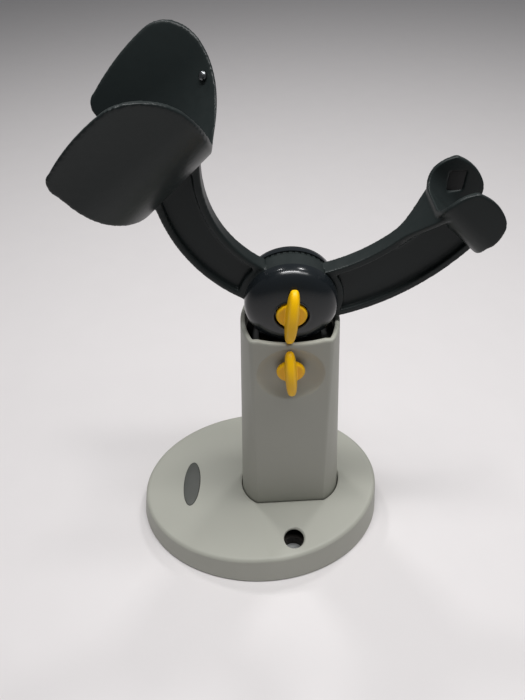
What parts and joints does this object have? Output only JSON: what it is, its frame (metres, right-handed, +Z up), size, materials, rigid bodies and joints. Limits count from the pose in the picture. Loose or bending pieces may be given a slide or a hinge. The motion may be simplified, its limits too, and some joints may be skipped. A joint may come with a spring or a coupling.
{
  "type": "handheld scanner stand",
  "caption": "Hands-free stand for a handheld scanner: weighted oval base, tapered column, sliding mast, and a tilting cradle with a large and a small cup, locked by wing knobs.",
  "frame": {"origin": "centre of the oval base, on the surface that its rubber feet stand on", "axes": "+Z up, +X towards the arm that carries the handle cup, +Y towards the back, away from the two wing knobs"},
  "size_m": [0.2305, 0.1516, 0.3704],
  "materials": {
    "grey_shell": "fine-textured moulded grey plastic",
    "charcoal_plastic": "satin moulded charcoal plastic with a green cast",
    "charcoal_gloss": "smooth charcoal plastic",
    "yellow_plastic": "smooth amber yellow plastic",
    "black_liner": "plain black plastic",
    "badge_gloss": "domed dark grey badge, no text",
    "zinc_steel": "zinc-plated steel",
    "stud_chrome": "polished stud",
    "ballast_iron": "cast ballast",
    "foot_rubber": "black rubber"
  },
  "bodies": {
    "base": {"base_shell": "grey_shell", "badge": "badge_gloss", "base_plate": "zinc_steel", "base_weight": "ballast_iron", "base_feet": "foot_rubber", "column_shell": "grey_shell", "column_screws": "zinc_steel", "plate_screws": "zinc_steel", "mast_guide": "black_liner", "height_nut": "zinc_steel"},
    "mast": {"mast": "charcoal_plastic", "grip_strip": "zinc_steel", "mast_stop": "black_liner", "front_cover": "charcoal_gloss", "back_cover": "charcoal_gloss", "cover_screws": "zinc_steel", "tilt_bush": "black_liner", "detent_ring": "charcoal_plastic", "tilt_nut": "zinc_steel"},
    "cradle": {"head_arm": "charcoal_plastic", "handle_arm": "charcoal_plastic", "cup_stud": "stud_chrome", "magnet_cover": "black_liner"},
    "tilt_washer": {"tilt_washer": "zinc_steel"},
    "tilt_knob": {"tilt_knob": "yellow_plastic", "tilt_screw": "zinc_steel"},
    "height_shoe": {"height_shoe": "foot_rubber"},
    "height_knob": {"height_knob": "yellow_plastic", "height_screw": "zinc_steel"}
  },
  "joints": [
    {"name": "mast_slide", "type": "slide", "parent": "base", "child": "mast", "axis": [0, 0, 1], "range_m": [0, 0.075]},
    {"name": "cradle_tilt", "type": "hinge", "parent": "mast", "child": "cradle", "pos_m": [0.0244, 0, 0.241], "axis": [0, 1, 0], "range_deg": [-30, 8]},
    {"name": "tilt_knob_travel", "type": "slide", "parent": "mast", "child": "tilt_washer", "axis": [0, -1, 0], "range_m": [0, 0.0015]},
    {"name": "tilt_knob_turn", "type": "hinge", "parent": "tilt_washer", "child": "tilt_knob", "pos_m": [0.0244, -0.0165, 0.241], "axis": [0, -1, 0], "range_deg": [0, 540]},
    {"name": "height_knob_travel", "type": "slide", "parent": "base", "child": "height_shoe", "axis": [0, -1, 0], "range_m": [0, 0.0015]},
    {"name": "height_knob_turn", "type": "hinge", "parent": "height_shoe", "child": "height_knob", "pos_m": [0.0244, -0.0194, 0.1964], "axis": [0, -1, 0], "range_deg": [0, 540]}
  ],
  "couplings": [
    {"joint": "tilt_knob_travel", "follows": "tilt_knob_turn", "m_per_rad": 0.00015915},
    {"joint": "height_knob_travel", "follows": "height_knob_turn", "m_per_rad": 0.00015915}
  ]
}
